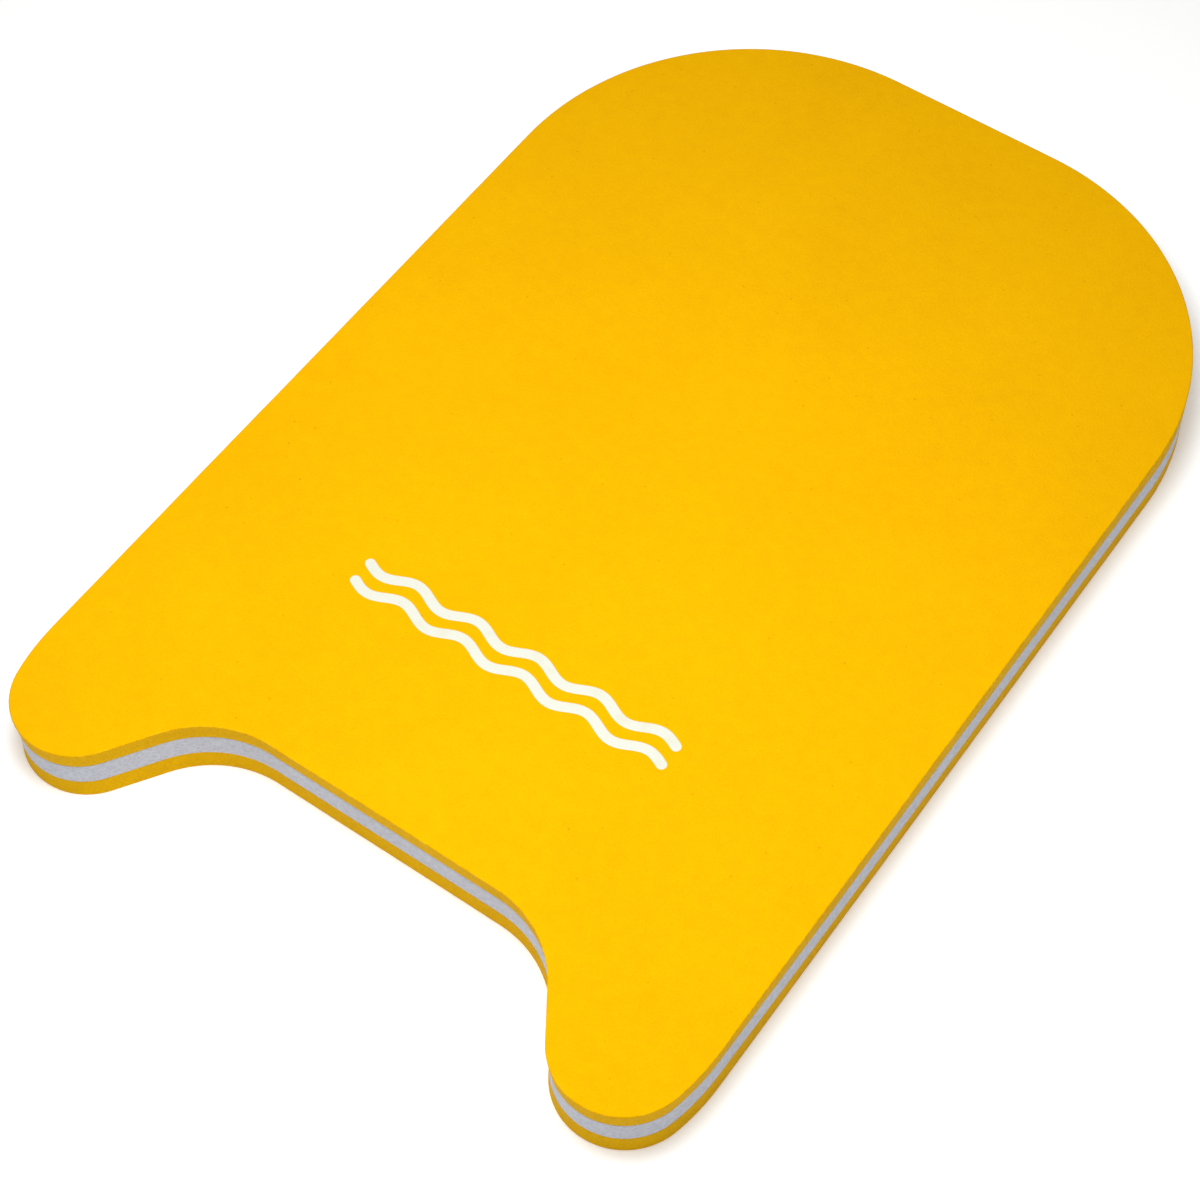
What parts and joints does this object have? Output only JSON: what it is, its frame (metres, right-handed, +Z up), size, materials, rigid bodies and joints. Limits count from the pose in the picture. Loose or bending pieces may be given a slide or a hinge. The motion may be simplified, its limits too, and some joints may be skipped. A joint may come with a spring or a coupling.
{
  "type": "kickboard float",
  "caption": "Flat rectangular swimming kickboard float of bonded foam sheets, with a rounded nose, a wide notch between two rounded tail horns and a printed wave mark on top.",
  "frame": {"origin": "centre of the outline's bounding rectangle, on the underside that the board rests on", "axes": "+Z up through the printed upper face; +Y along the board's length, from the notched tail to the rounded nose; +X across its width"},
  "size_m": [0.28, 0.42, 0.0264],
  "materials": {
    "skin_foam": "matte",
    "core_foam": "matte",
    "adhesive": "satin",
    "white_ink": "satin"
  },
  "bodies": {
    "root": {"bottom_skin": "skin_foam", "lower_glue_film": "adhesive", "core": "core_foam", "upper_glue_film": "adhesive", "top_skin": "skin_foam", "printed_waves": "white_ink"}
  },
  "joints": []
}
